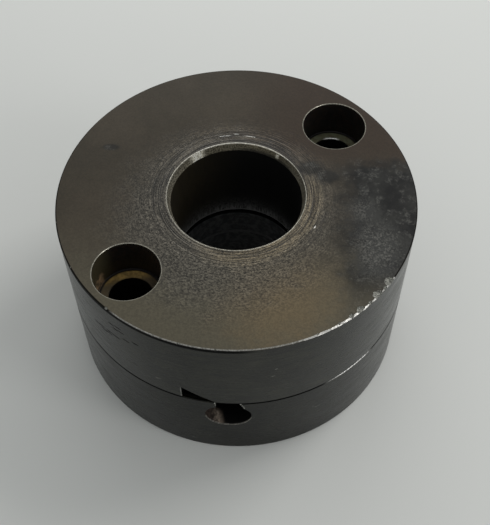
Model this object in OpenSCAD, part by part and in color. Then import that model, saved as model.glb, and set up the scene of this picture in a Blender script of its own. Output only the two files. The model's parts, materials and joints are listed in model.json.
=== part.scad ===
// Enclosed jaw coupling: two flush steel discs that close round a keyed jaw hub and
// the rubber blocks that drive it.
// Millimetres. +Z is the shaft axis, and the origin is the centre of the lower disc's
// outer face. The keyway, the set screw and its access hole face -Y.

/* [Housing] */
// Outside diameter of both discs
outer_d = 110; // [108:1:124]
// Height of the lower disc, up to the parting plane
body_h = 30.5; // [30:0.5:36]
// Height of the upper disc, from the parting plane
cover_h = 31.5; // [28:0.5:44]
// Diameter of the plain bore through both discs
housing_bore_d = 40.5; // [40.1:0.1:41]
// Diameter of the lead-in cone at the cover's face
lead_in_d = 42.4; // [41.4:0.1:46]
// Depth of the lead-in cone
lead_in_h = 2.3; // [1:0.1:4]
// Diameter of the chamber for the hub and the blocks
chamber_d = 95; // [92:0.5:96]
// Thickness of the floor under the chamber
floor_t = 5; // [4:0.5:6.5]
// Edge break on the outer rims
rim_chamfer = 0.5; // [0.2:0.1:1.5]
// Edge break at the parting plane
seam_chamfer = 0.25; // [0.1:0.05:0.6]

/* [Screw holes] */
// Diameter of the circle that the cap screws and the dowels sit on
pitch_circle_d = 85; // [83:0.5:86]
// Clearance hole for the cap screws
screw_hole_d = 13.5; // [12.5:0.1:14]
// Counterbore for the cap screw heads
counterbore_d = 20; // [18.5:0.1:21]
// Depth of the counterbores
counterbore_h = 13; // [8:0.5:16]

/* [Pry notch] */
// Height of the notch at its upright end
notch_h = 6.2; // [3:0.1:10]
// Run of the notch along the rim
notch_l = 11.2; // [6:0.1:16]
// Depth of the notch into the rim
notch_depth = 6.5; // [3:0.1:7]

/* [Access hole] */
// Width of the rounded access hole in the rim
access_w = 14.2; // [12:0.1:16]
// Height of the access hole
access_h = 11.8; // [9:0.1:11.8]
// Drop from the parting plane to the hole's centre
access_drop = 8.1; // [7.5:0.1:9]
// Width of the slot that joins the hole to the parting plane
slot_w = 7.3; // [4:0.1:8]
// How far the slot's right flank leans out by the hole's centre line
slot_lean = 2.6; // [0:0.1:3]

/* [Jaws] */
// Angle that each housing jaw covers
jaw_angle = 29; // [27:0.5:33]
// Radial gap between the jaw tips and the hub
tip_gap = 0.6; // [0.4:0.1:1]

/* [Hub] */
// Shaft bore
shaft_d = 40; // [38:0.1:40]
// Outside diameter of the hub between its vanes
hub_d = 60; // [56:0.5:60]
// Width of each vane
vane_w = 15; // [12:0.5:16]
// Radial gap between the vanes and the chamber wall
vane_gap = 0.7; // [0.4:0.1:1.5]
// Width of the keyway
key_w = 12; // [8:0.5:12]
// Depth of the keyway beyond the bore
key_depth = 3.3; // [2:0.1:3.5]
// Drop from the parting plane to the relief groove in the bore
groove_drop = 12; // [8:0.5:18]
// Width of the relief groove
groove_w = 1.2; // [0.6:0.1:2]
// Depth of the relief groove
groove_depth = 0.4; // [0.2:0.1:0.8]

/* [Rubber blocks] */
// Gap between a block and the steel that it lies against
block_gap = 0.2; // [0.1:0.05:0.5]
// Twist of the hub that the blocks leave free, in degrees each way
free_twist = 1.25; // [1.2:0.05:2.5]

/* [Small parts] */
// Thickness of the bronze thrust washers
washer_t = 1.2; // [0.8:0.1:1.2]
// Inside diameter of the thrust washers
washer_bore_d = 43; // [41.5:0.5:46]
// Diameter of the dowel pins
dowel_d = 8; // [5:0.5:9]
// Length of the dowel pins
dowel_l = 24; // [16:1:26]
// Nominal diameter of the set screw
set_screw_d = 8; // [6:0.5:9]
// Length of the set screw
set_screw_l = 12; // [10:0.5:14]

/* [Hidden] */

$fn = 96;
overcut = 1;
slip = 0.05;

outer_r = outer_d / 2;
chamber_r = chamber_d / 2;
housing_bore_r = housing_bore_d / 2;
pitch_r = pitch_circle_d / 2;
total_h = body_h + cover_h;

// The cover's spigot dips into the chamber and centres the two discs.
spigot_h = 0.8;
spigot_gap = 0.1;
spigot_z = body_h - spigot_h;

// Four housing jaws stand between the hub's four vanes.
jaw_count = 4;
jaw_step = 360 / jaw_count;
jaw_top_z = spigot_z - 0.1;
jaw_tip_r = hub_d / 2 + tip_gap;

vane_r = chamber_r - vane_gap;
hub_bottom_z = floor_t + washer_t + slip;
hub_top_z = spigot_z - washer_t - 2 * slip;
bore_chamfer = 0.5;
groove_z = body_h - groove_drop;

// The cap screws stand on one diagonal of the housing and the dowels on the other.
screw_angles = [45, 225];
dowel_angles = [135, 315];
dowel_z = body_h - dowel_l / 2;
dowel_chamfer = 0.8;

notch_angle = 255.5;
access_z = body_h - access_drop;
access_r = access_h / 2;
key_r = shaft_d / 2 + key_depth;
set_screw_tip_r = key_r + 0.4;
set_screw_chamfer = 0.6;
socket_across_flats = 0.5 * set_screw_d;
socket_depth = 0.4 * set_screw_l;

block_r_in = hub_d / 2 + 4 * block_gap;
block_r_out = chamber_r - 2 * block_gap;
block_bottom_z = floor_t + block_gap;
block_top_z = spigot_z - 2 * block_gap;

// A solid turned about the shaft axis from an outline of [radius, height] points
module turned(outline) {
    rotate_extrude() polygon(outline);
}

module upright_hole(d, angle, z_low, z_high) {
    rotate([0, 0, angle])
        translate([pitch_r, 0, z_low])
            cylinder(h = z_high - z_low, d = d);
}

// A hole that runs straight out through the rim along -Y
module rim_hole(r, x, z, y_near, y_far) {
    translate([x, -y_near, z])
        rotate([90, 0, 0])
            cylinder(h = y_far - y_near, r = r);
}

module cover_half() {
    color("#3b3835")
    difference() {
        turned([
            [housing_bore_r, spigot_z],
            [chamber_r - spigot_gap, spigot_z],
            [chamber_r - spigot_gap, body_h],
            [outer_r - seam_chamfer, body_h],
            [outer_r, body_h + seam_chamfer],
            [outer_r, total_h - rim_chamfer],
            [outer_r - rim_chamfer, total_h],
            [lead_in_d / 2, total_h],
            [housing_bore_r, total_h - lead_in_h]
        ]);
        for (a = screw_angles) {
            upright_hole(screw_hole_d, a, spigot_z - overcut, total_h + overcut);
            upright_hole(counterbore_d, a, total_h - counterbore_h, total_h + overcut);
        }
        for (a = dowel_angles)
            upright_hole(dowel_d + 2 * slip, a, spigot_z - overcut, body_h + dowel_l / 2 + overcut);
        pry_notch();
    }
}

// A wedge-shaped slot in the cover's lower edge, upright at one end and ramped at the other
module pry_notch() {
    ramp_foot = notch_l * (1 + overcut / notch_h);
    rotate([0, 0, notch_angle])
        translate([outer_r - notch_depth, 0, body_h])
            rotate([90, 0, 90])
                linear_extrude(height = notch_depth + overcut)
                    polygon([[0, -overcut], [0, notch_h], [ramp_foot, -overcut]]);
}

module jaw_body() {
    color("#353331")
    difference() {
        union() {
            turned([
                [housing_bore_r + rim_chamfer, 0],
                [outer_r - rim_chamfer, 0],
                [outer_r, rim_chamfer],
                [outer_r, body_h - seam_chamfer],
                [outer_r - seam_chamfer, body_h],
                [chamber_r, body_h],
                [chamber_r, floor_t],
                [housing_bore_r, floor_t],
                [housing_bore_r, rim_chamfer]
            ]);
            for (i = [0 : jaw_count - 1])
                housing_jaw((i + 0.5) * jaw_step);
        }
        for (a = screw_angles)
            upright_hole(screw_hole_d, a, -overcut, body_h + overcut);
        for (a = dowel_angles)
            upright_hole(dowel_d, a, dowel_z, body_h + overcut);
        access_opening();
    }
}

// One inward jaw, a block between two radial flanks that reaches into the rim wall
module housing_jaw(angle) {
    reach = outer_r;
    half_width = reach * tan(jaw_angle / 2);
    rotate([0, 0, angle])
        intersection() {
            difference() {
                cylinder(h = jaw_top_z, r = chamber_r + overcut);
                translate([0, 0, -overcut])
                    cylinder(h = jaw_top_z + 2 * overcut, r = jaw_tip_r);
            }
            translate([0, 0, floor_t - overcut])
                linear_extrude(height = jaw_top_z - floor_t + overcut)
                    polygon([[0, 0], [reach, -half_width], [reach, half_width]]);
        }
}

// A rounded hole through the rim, open to the parting plane through a slot with one leaning flank
module access_opening() {
    y_near = chamber_r - 2;
    y_far = outer_r + overcut;
    side = access_w / 2 - access_r;
    for (x = [-side, side])
        rim_hole(access_r, x, access_z, y_near, y_far);
    translate([-side, -y_far, access_z - access_r])
        cube([2 * side, y_far - y_near, access_h]);
    translate([0, -y_near, 0])
        rotate([90, 0, 0])
            linear_extrude(height = y_far - y_near)
                polygon([
                    [-slot_w / 2, access_z],
                    [slot_w / 2 + slot_lean, access_z],
                    [slot_w / 2, body_h],
                    [slot_w / 2, body_h + overcut],
                    [-slot_w / 2, body_h + overcut]
                ]);
}

module jaw_hub() {
    bore_r = shaft_d / 2;
    color("#6a6a6c")
    difference() {
        union() {
            turned([
                [bore_r + bore_chamfer, hub_bottom_z],
                [hub_d / 2, hub_bottom_z],
                [hub_d / 2, hub_top_z],
                [bore_r + bore_chamfer, hub_top_z],
                [bore_r, hub_top_z - bore_chamfer],
                [bore_r, groove_z + groove_w / 2],
                [bore_r + groove_depth, groove_z + groove_w / 2],
                [bore_r + groove_depth, groove_z - groove_w / 2],
                [bore_r, groove_z - groove_w / 2],
                [bore_r, hub_bottom_z + bore_chamfer]
            ]);
            intersection() {
                for (i = [0 : jaw_count - 1])
                    hub_vane(i * jaw_step);
                cylinder(h = total_h, r = vane_r);
            }
        }
        translate([-key_w / 2, -key_r, hub_bottom_z - overcut])
            cube([key_w, key_r - bore_r / 2, hub_top_z - hub_bottom_z + 2 * overcut]);
        rim_hole(set_screw_d / 2 + slip, 0, access_z, key_r - overcut, vane_r + overcut);
    }
}

// A flat-sided vane that stands out from the hub
module hub_vane(angle) {
    root_r = hub_d / 2 - 2;
    rotate([0, 0, angle])
        translate([root_r, -vane_w / 2, hub_bottom_z])
            cube([chamber_r - root_r, vane_w, hub_top_z - hub_bottom_z]);
}

// One block fills the space between a vane and a jaw. It lies ahead of the vane where
// side is 1, and behind it where side is -1.
module rubber_block(vane, side) {
    jaw_flank = (jaw_step - jaw_angle) / 2;
    block_h = block_top_z - block_bottom_z;
    color("#1c1c1c")
    rotate([0, 0, vane * jaw_step])
        difference() {
            translate([0, 0, block_bottom_z])
                cylinder(h = block_h, r = block_r_out);
            translate([0, 0, block_bottom_z - overcut])
                cylinder(h = block_h + 2 * overcut, r = block_r_in);
            rotate([0, 0, side * free_twist])
                half_space(side, vane_w / 2 + block_gap);
            rotate([0, 0, side * jaw_flank])
                half_space(-side, block_gap);
        }
}

// All of a block's height on one side of the line y = side * edge, towards the shaft axis
module half_space(side, edge) {
    y_low = side > 0 ? edge - outer_d : -edge;
    translate([-outer_r, y_low, block_bottom_z - overcut])
        cube([outer_d, outer_d, block_top_z - block_bottom_z + 2 * overcut]);
}

module dowel_pin(angle) {
    r = dowel_d / 2;
    top_z = dowel_z + dowel_l;
    color("silver")
    rotate([0, 0, angle])
        translate([pitch_r, 0, 0])
            turned([
                [0, dowel_z],
                [r - dowel_chamfer, dowel_z],
                [r, dowel_z + dowel_chamfer],
                [r, top_z - dowel_chamfer],
                [r - dowel_chamfer, top_z],
                [0, top_z]
            ]);
}

module thrust_washer(z) {
    r_in = washer_bore_d / 2;
    r_out = jaw_tip_r - 6 * slip;
    color("#a9824a")
    turned([[r_in, z], [r_out, z], [r_out, z + washer_t], [r_in, z + washer_t]]);
}

// A headless screw with a hexagon socket at its outer end and a blunt inner tip
module set_screw() {
    r = set_screw_d / 2;
    point_h = 0.2 * set_screw_d;
    color("#2b2b2d")
    translate([0, -set_screw_tip_r, access_z])
        rotate([90, 0, 0])
            difference() {
                turned([
                    [0, 0],
                    [0.6 * r, 0],
                    [r, point_h],
                    [r, set_screw_l - set_screw_chamfer],
                    [r - set_screw_chamfer, set_screw_l],
                    [0, set_screw_l]
                ]);
                translate([0, 0, set_screw_l - socket_depth])
                    cylinder(h = socket_depth + overcut, d = socket_across_flats / cos(30), $fn = 6);
            }
}

cover_half();
jaw_body();
jaw_hub();
rubber_block(0, 1);  // rubber_block_1
rubber_block(1, -1);  // rubber_block_2
rubber_block(1, 1);  // rubber_block_3
rubber_block(2, -1);  // rubber_block_4
rubber_block(2, 1);  // rubber_block_5
rubber_block(3, -1);  // rubber_block_6
rubber_block(3, 1);  // rubber_block_7
rubber_block(0, -1);  // rubber_block_8
dowel_pin(dowel_angles[0]);  // dowel_pin_1
dowel_pin(dowel_angles[1]);  // dowel_pin_2
thrust_washer(hub_top_z);  // top_thrust_washer
thrust_washer(floor_t);  // bottom_thrust_washer
set_screw();
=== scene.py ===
"""An enclosed jaw coupling in dark, used steel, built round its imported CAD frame.

Everything is in metres and in the CAD's own frame: +Z along the shaft axis, with the access hole,
the set screw and the keyway on the -Y side.
"""
import json
import math
import random

import bmesh
import bpy
from mathutils import Matrix, Quaternion, Vector


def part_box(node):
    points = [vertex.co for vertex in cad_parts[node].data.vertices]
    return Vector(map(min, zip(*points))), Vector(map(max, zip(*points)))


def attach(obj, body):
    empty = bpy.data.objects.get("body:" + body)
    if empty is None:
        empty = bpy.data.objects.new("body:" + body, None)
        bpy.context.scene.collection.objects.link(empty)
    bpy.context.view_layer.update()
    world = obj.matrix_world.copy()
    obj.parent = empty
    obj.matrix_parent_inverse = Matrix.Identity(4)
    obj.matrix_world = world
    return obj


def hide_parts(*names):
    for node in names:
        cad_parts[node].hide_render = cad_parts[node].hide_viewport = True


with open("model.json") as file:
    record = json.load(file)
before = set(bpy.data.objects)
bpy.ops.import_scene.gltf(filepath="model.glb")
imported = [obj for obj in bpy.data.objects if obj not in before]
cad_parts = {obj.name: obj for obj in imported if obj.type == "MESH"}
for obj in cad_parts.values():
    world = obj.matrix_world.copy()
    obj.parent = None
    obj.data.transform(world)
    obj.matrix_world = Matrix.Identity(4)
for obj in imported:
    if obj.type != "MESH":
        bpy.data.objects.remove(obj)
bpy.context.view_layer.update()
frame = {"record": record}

# ---------------- sizes, from the frame
MM = 0.001
MOUNTS = {m["name"]: m["dims"] for m in frame["record"]["mounts"]}

_, body_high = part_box("jaw_body")
cover_low, cover_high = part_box("cover_half")
hub_low, hub_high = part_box("jaw_hub")
screw_low, screw_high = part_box("set_screw")
_, washer_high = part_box("top_thrust_washer")

OUTER_R = max(cover_high.x, cover_high.y)
TOP_Z = cover_high.z
SEAM_Z = body_high.z
SPIGOT_Z = cover_low.z
HUB_BOTTOM_Z, HUB_TOP_Z = hub_low.z, hub_high.z
VANE_R = max(hub_high.x, hub_high.y)
SCREW_Z = (screw_low.z + screw_high.z) / 2
SCREW_R = screw_high.x
SCREW_HEAD_Y = screw_low.y
SCREW_LENGTH = screw_high.y - screw_low.y
WASHER_R = washer_high.x
SHAFT_R = MOUNTS["shaft_bore"]["r_mm"] * MM
HOUSING_BORE_R = MOUNTS["cover_bore"]["r_mm"] * MM
PITCH_R = MOUNTS["flange_screws"]["pcd_mm"] / 2 * MM
SCREW_HOLE_R = MOUNTS["flange_screws"]["hole_r_mm"] * MM

# ---------------- sizes of the inner features
LEAD_IN_R = 21.2 * MM
LEAD_IN_H = 2.3 * MM
CHAMBER_R = 47.5 * MM
SPIGOT_R = 47.4 * MM
FLOOR_Z = 5 * MM
FOOT_CHAMFER = 0.5 * MM
RIM_BREAK = 0.3 * MM
SEAM_CHAMFER = 0.25 * MM
COUNTERBORE_R = 10 * MM
COUNTERBORE_H = 13 * MM
COUNTERBORE_CHAMFER = 0.1 * MM
NOTCH_ANGLE = 255.5
NOTCH_H = 6.2 * MM
NOTCH_L = 11.2 * MM
NOTCH_DEPTH = 6.5 * MM
NOTCH_TURN = NOTCH_ANGLE - 360
ACCESS_W = 14.2 * MM
ACCESS_R = 5.9 * MM
ACCESS_SIDE = ACCESS_W / 2 - ACCESS_R
ACCESS_Z = SCREW_Z
SLOT_W = 7.3 * MM
SLOT_LEAN = 2.6 * MM
JAW_ANGLE = 29
JAW_TIP_R = 30.6 * MM
JAW_TOP_Z = 29.6 * MM
HUB_R = 30 * MM
VANE_W = 15 * MM
KEY_W = 12 * MM
KEY_R = 23.3 * MM
GROOVE_Z = 18.5 * MM
GROOVE_W = 1.2 * MM
GROOVE_DEPTH = 0.25 * MM
BLOCK_GAP = 0.2 * MM
FREE_TWIST = 1.25
DOWEL_R = 4 * MM
DOWEL_DEPTH = 12 * MM
WASHER_BORE_R = 21.5 * MM
SLIDING_GAP = 0.05 * MM

SCREW_ANGLES = (45, 225)
DOWEL_ANGLES = (135, 315)
ROUND = 224
HOLE_ROUND = 96
OVERCUT = 1 * MM

# ---------------- sizes in mm, for the materials
TOP, SEAM, OUTER, CHAMBER = [size / MM for size in (TOP_Z, SEAM_Z, OUTER_R, CHAMBER_R)]
# the cap screws' seats are centred on (SEAT_AT, SEAT_AT) and on (-SEAT_AT, -SEAT_AT)
SEAT_AT = PITCH_R / MM * math.cos(math.radians(SCREW_ANGLES[0]))

# ---------------- where the wear and the painted light and shade are: degrees from +X, or X and Y in mm
RIM_BRIGHT = (-125, -68)
RIM_BRIGHTEST = (-68, -34)
RIM_WORN = (-71, -31)
UNDER_RIM_SHADE = (-145, -88)
SEAM_GLINT = (-60, -49, -42, -37)
LEAD_IN_GLINT = (128, 132)
LEAD_IN_SPARK = (54.0, 55.4)
NOTCH_SHELF = (NOTCH_TURN + 1, NOTCH_TURN + 9)
NOTCH_SHADE = (NOTCH_TURN - 1, NOTCH_TURN + 14)
GOLDEN_SPOT = (14, -36)
PITTED_SPOT = (-3, -9)
SPECKLED_SPOTS = ((38, -5), (42, -19))
STAIN_LOBES = ((22.5, 12), (28.5, 8.5))
STAIN_SPOT = (-40.8, 17.7)


# ---------------- mesh building
def piece_from(name, bm):
    bmesh.ops.recalc_face_normals(bm, faces=bm.faces[:])
    mesh = bpy.data.meshes.new(name)
    bm.to_mesh(mesh)
    bm.free()
    piece = bpy.data.objects.new(name, mesh)
    bpy.context.scene.collection.objects.link(piece)
    return piece


def lathe(name, outline, around=ROUND):
    """A closed solid turned about Z from a loop of (radius, height) points."""
    bm = bmesh.new()
    rings = []
    for r, z in outline:
        if r < 1e-7:
            rings.append([bm.verts.new((0, 0, z))])
            continue
        turns = [2 * math.pi * k / around for k in range(around)]
        rings.append([bm.verts.new((r * math.cos(t), r * math.sin(t), z)) for t in turns])
    for low, high in zip(rings, rings[1:] + rings[:1]):
        if len(low) == len(high) == 1:
            continue
        for k in range(around):
            quad = ((low, k), (low, k + 1), (high, k + 1), (high, k))
            corners = [ring[i % len(ring)] for ring, i in quad]
            bm.faces.new(list(dict.fromkeys(corners)))
    return piece_from(name, bm)


def extrude(name, outline, low, high):
    """A straight prism with an outline of (x, y) points, from height low to height high."""
    bm = bmesh.new()
    floor = bm.faces.new([bm.verts.new((x, y, low)) for x, y in outline])
    grown = bmesh.ops.extrude_face_region(bm, geom=[floor])["geom"]
    lifted = [g for g in grown if isinstance(g, bmesh.types.BMVert)]
    bmesh.ops.translate(bm, verts=lifted, vec=(0, 0, high - low))
    return piece_from(name, bm)


def sweep(name, sections):
    """A solid through a row of sections, each a loop of as many points, with flat ends."""
    bm = bmesh.new()
    loops = [[bm.verts.new(point) for point in section] for section in sections]
    size = len(loops[0])
    for low, high in zip(loops, loops[1:]):
        for k in range(size):
            bm.faces.new((low[k], low[(k + 1) % size], high[(k + 1) % size], high[k]))
    bm.faces.new(loops[0])
    bm.faces.new(loops[-1])
    return piece_from(name, bm)


def arc(radius, start, stop, steps):
    """Points on an arc about the shaft axis, from one angle to another in degrees."""
    turns = [math.radians(start + (stop - start) * k / steps) for k in range(steps + 1)]
    return [(radius * math.cos(t), radius * math.sin(t)) for t in turns]


def place(piece, matrix):
    piece.data.transform(matrix)
    return piece


def spin(angle):
    return Matrix.Rotation(math.radians(angle), 4, "Z")


def settle(piece):
    """Makes a piece's modifiers part of its mesh."""
    bpy.context.view_layer.update()
    evaluated = piece.evaluated_get(bpy.context.evaluated_depsgraph_get())
    mesh = bpy.data.meshes.new_from_object(evaluated)
    old = piece.data
    piece.modifiers.clear()
    piece.data = mesh
    mesh.name = piece.name
    bpy.data.meshes.remove(old)
    return piece


def combine(target, tool, operation):
    modifier = target.modifiers.new("combine", "BOOLEAN")
    modifier.operation = operation
    modifier.solver = "MANIFOLD"
    modifier.material_mode = "TRANSFER"
    modifier.object = tool
    settle(target)
    bpy.data.meshes.remove(tool.data)


def cut(target, *tools):
    for tool in tools:
        combine(target, tool, "DIFFERENCE")


def soften(piece, width, segments=2):
    """Rounds every edge sharper than 30 degrees, as an edge break does."""
    modifier = piece.modifiers.new("edge_break", "BEVEL")
    modifier.width = width
    modifier.segments = segments
    modifier.limit_method = "ANGLE"
    modifier.angle_limit = math.radians(30)
    modifier.use_clamp_overlap = True
    settle(piece)


def shade(piece, angle=32):
    """Smooth shading that keeps a flat face flat right up to its rounded edges."""
    mesh = piece.data
    mesh.polygons.foreach_set("use_smooth", [True] * len(mesh.polygons))
    mesh.set_sharp_from_angle(angle=math.radians(angle))
    modifier = piece.modifiers.new("flat_faces", "WEIGHTED_NORMAL")
    modifier.keep_sharp = True
    return settle(piece)


def at_pitch(piece, angle, radius=PITCH_R):
    return place(piece, spin(angle) @ Matrix.Translation((radius, 0, 0)))


# ---------------- material nodes
tree = None  # the node tree of the material being made, which every helper here adds to


def node(kind, inputs=None, **settings):
    made = tree.nodes.new(kind)
    for name, value in settings.items():
        setattr(made, name, value)
    for name, value in (inputs or {}).items():
        feed(made.inputs[name], value)
    return made


def feed(socket, value):
    """Links a socket to another, or sets it to a plain value."""
    if isinstance(value, bpy.types.NodeSocket):
        tree.links.new(value, socket)
    elif isinstance(value, tuple) and socket.type == "RGBA":
        socket.default_value = (*value, 1.0)
    else:
        socket.default_value = value


def compute(operation, a, b=0.0, c=0.0):
    return node("ShaderNodeMath", {0: a, 1: b, 2: c}, operation=operation).outputs[0]


def ramp(value, low, high):
    """0 at low and 1 at high, and smooth between them; low may be above high."""
    inputs = {"Value": value, "From Min": low, "From Max": high}
    if low > high:
        inputs = {"Value": value, "From Min": high, "From Max": low, "To Min": 1.0, "To Max": 0.0}
    return node("ShaderNodeMapRange", inputs, interpolation_type="SMOOTHSTEP").outputs[0]


def noise(vector, scale, detail, roughness):
    inputs = {"Vector": vector, "Scale": scale, "Detail": detail, "Roughness": roughness}
    return node("ShaderNodeTexNoise", inputs).outputs["Fac"]


def blend(amount, a, b):
    """From a to b, which are two colours or two numbers."""
    if isinstance(a, (int, float)) and a == b:
        return a
    is_number = isinstance(a, (int, float)) or getattr(a, "type", "") == "VALUE"
    made = node("ShaderNodeMix", data_type="FLOAT" if is_number else "RGBA")
    first = 2 if is_number else 6
    feed(made.inputs[0], amount)
    feed(made.inputs[first], a)
    feed(made.inputs[first + 1], b)
    return made.outputs[0 if is_number else 2]


def tinted(colour, strength):
    """A colour made lighter or darker by a number that varies over the surface."""
    made = node("ShaderNodeVectorMath", operation="SCALE")
    if isinstance(colour, tuple):
        made.inputs[0].default_value = colour
    else:
        tree.links.new(colour, made.inputs[0])
    feed(made.inputs[3], strength)
    return made.outputs[0]


def product(first, *others):
    for other in others:
        first = compute("MULTIPLY", first, other)
    return first


def most(first, *others):
    for other in others:
        first = compute("MAXIMUM", first, other)
    return first


def minus(a, b):
    return compute("SUBTRACT", a, b)


def size_of(value):
    return compute("ABSOLUTE", value)


def inverse(value):
    return minus(1.0, value)


def graded(value, low, high, a, b):
    """a where a value is below low, b where it is above high, and a smooth change between."""
    return blend(ramp(value, low, high), a, b)


def band(value, low, high, fade):
    """1 between low and high, and 0 from fade outside them."""
    return product(ramp(value, low - fade, low), ramp(value, high + fade, high))


def length(a, b):
    a2 = product(a, a)
    return compute("SQRT", compute("MULTIPLY_ADD", b, b, a2))


def along_and_across(here, angle):
    """Plan coordinates turned so that the first runs out at an angle from +X."""
    c, s = math.cos(math.radians(angle)), math.sin(math.radians(angle))
    along = compute("MULTIPLY_ADD", here.y, s, product(here.x, c))
    across = compute("MULTIPLY_ADD", here.y, c, product(here.x, -s))
    return along, across


class Place:
    """Where a shaded point is on the part, in millimetres, and which way it faces."""

    def __init__(self):
        coordinates = node("ShaderNodeTexCoord")
        inputs = {0: coordinates.outputs["Object"], 3: 1 / MM}
        self.point = node("ShaderNodeVectorMath", inputs, operation="SCALE").outputs[0]
        split = node("ShaderNodeSeparateXYZ", {0: self.point})
        self.x, self.y, self.z = split.outputs
        self.r = length(self.x, self.y)
        self.turn = compute("ARCTAN2", self.y, self.x)
        self.angle = product(self.turn, math.degrees(1))
        facing = node("ShaderNodeSeparateXYZ", {0: coordinates.outputs["Normal"]})
        up = facing.outputs["Z"]
        self.level = ramp(size_of(up), 0.55, 0.85)
        self.on_top = ramp(up, 0.55, 0.85)

    def tool_marks(self, across, along):
        """Noise drawn out round the axis, on level faces and on upright walls alike."""
        reach = blend(self.level, self.z, self.r)
        inputs = {
            "X": product(reach, across),
            "Y": product(compute("SINE", self.turn), along),
            "Z": product(compute("COSINE", self.turn), along),
        }
        vector = node("ShaderNodeCombineXYZ", inputs).outputs[0]
        return noise(vector, 1.0, 3.0, 0.65)

    def away_from(self, x, y, stretch=1.0):
        """Distance on plan from a point, with Y counted stretch times."""
        dy = product(minus(self.y, y), stretch)
        return length(minus(self.x, x), dy)

    def patch(self, spot, reach, core, wobble, sway=1.0, stretch=1.0):
        """1 in the core round a spot and 0 beyond its reach, with an edge that sways with the wobble."""
        away = self.away_from(*spot, stretch)
        return ramp(compute("MULTIPLY_ADD", wobble, sway, away), reach, core)

    def near_edge(self, edge_r, edge_z, reach, radius=None):
        """1 on a round edge and 0 from reach away from it, on a section through its axis."""
        dr = minus(self.r if radius is None else radius, edge_r)
        dz = minus(self.z, edge_z)
        return ramp(length(dr, dz), reach, reach * 0.5)


# ---------------- coats
def coat(colour, roughness, metallic, relief):
    """What a surface is made of at a point; relief is a height in millimetres."""
    return {"colour": colour, "roughness": roughness, "metallic": metallic, "relief": relief}


def over(amount, under, upper):
    """The upper coat laid on the under one, as far as an amount says."""
    return {channel: blend(amount, under[channel], upper[channel]) for channel in under}


def material_of(name, make_coat, *tones, gloss=0.5):
    """A material whose coat is make_coat(here, *tones); gloss is its specular level."""
    global tree
    material = bpy.data.materials.new(name)
    material.use_nodes = True
    tree = material.node_tree
    shader = tree.nodes["Principled BSDF"]
    shader.inputs["Specular IOR Level"].default_value = gloss
    made = make_coat(Place(), *tones)
    bump = node("ShaderNodeBump", {"Height": made["relief"], "Distance": MM})
    feed(shader.inputs["Base Color"], made["colour"])
    feed(shader.inputs["Roughness"], made["roughness"])
    feed(shader.inputs["Metallic"], made["metallic"])
    feed(shader.inputs["Normal"], bump.outputs[0])
    return material


def wall_coat(here, tone):
    """Turned walls, darkened by oil, with streaks along the tool's path and blotches."""
    marks = here.tool_marks(3.2, 3.0)
    streaks = here.tool_marks(0.8, 5.0)
    grime = noise(here.point, 0.16, 4.0, 0.6)
    grain = noise(here.point, 2.2, 2.0, 0.6)
    strength = graded(grime, 0.3, 0.7, 0.6, 1.4)
    strength = product(strength, graded(marks, 0.35, 0.65, 0.8, 1.2))
    strength = product(strength, graded(streaks, 0.36, 0.64, 0.6, 1.7))
    relief = compute("MULTIPLY_ADD", grain, 0.006, product(marks, 0.012))
    dull = graded(streaks, 0.36, 0.64, 0.22, 0.32)
    return coat(tinted(tone, strength), dull, 0.4, relief)


def face_coat(here):
    """The cover's outer face: brown, more golden at the front, with pits and open tool marks."""
    broad = noise(here.point, 0.045, 3.0, 0.55)
    grime = noise(here.point, 0.25, 4.0, 0.6)
    grain = noise(here.point, 1.7, 3.0, 0.7)
    rings = here.tool_marks(2.3, 1.6)
    flecks = here.tool_marks(2.2, 26.0)
    strokes = here.tool_marks(2.6, 45.0)
    wobble = compute("MULTIPLY_ADD", grime, 18.0, -9.0)

    colour = graded(broad, 0.35, 0.65, (0.036, 0.029, 0.0185), (0.049, 0.039, 0.0255))
    # the front is lighter and more golden: a golden film with a painted sheen on it
    front = ramp(compute("ADD", here.y, wobble), -8, -42)
    colour = blend(front, colour, (0.083, 0.073, 0.049))
    golden = here.patch(GOLDEN_SPOT, 25, 2, wobble, stretch=0.9)
    colour = blend(golden, colour, (0.134, 0.100, 0.054))
    reddish = product(ramp(here.x, -8, 22), ramp(here.y, 4, 24))
    colour = blend(reddish, colour, (0.033, 0.021, 0.012))

    # the tool marks are open round the bore, and the pitting is worst there and at the front left
    ring_zone = ramp(compute("MULTIPLY_ADD", grime, 8.0, here.r), 38, 26)
    pit_zone = here.patch(PITTED_SPOT, 42, 22, wobble)
    close_by = ramp(here.r, 28, 24)
    colour = blend(product(pit_zone, 0.7), colour, (0.067, 0.062, 0.052))
    tan_side = product(close_by, ramp(here.y, 14, -4), ramp(here.x, -16, 2), 0.8)
    colour = blend(tan_side, colour, (0.104, 0.084, 0.053))
    shade_of_rings = graded(rings, 0.40, 0.58, 0.58, 1.32)
    shade_of_flecks = graded(flecks, 0.40, 0.60, 0.55, 1.75)
    shade_of_flecks = blend(product(close_by, 0.75), shade_of_flecks, 1.0)
    shade_of_grain = graded(grain, 0.40, 0.60, 0.72, 1.40)
    shade_of_grain = blend(product(close_by, 0.75), shade_of_grain, 1.0)
    pits = graded(strokes, 0.38, 0.54, 0.32, 1.26)
    strength = blend(ring_zone, 1.0, product(shade_of_rings, shade_of_flecks))
    strength = product(strength, blend(close_by, 1.0, shade_of_rings))
    strength = product(strength, blend(pit_zone, 1.0, product(shade_of_grain, pits)))
    faint = graded(grain, 0.3, 0.7, 0.84, 1.16)
    colour = tinted(colour, product(strength, faint))

    heights = [
        product(rings, blend(ring_zone, 0.012, 0.11)),
        product(flecks, blend(ring_zone, 0.004, 0.07)),
        product(grain, blend(pit_zone, 0.010, 0.05)),
    ]
    relief = compute("ADD", compute("ADD", heights[0], heights[1]), heights[2])
    return coat(colour, blend(grime, 0.32, 0.42), 0.25, relief)


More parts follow.
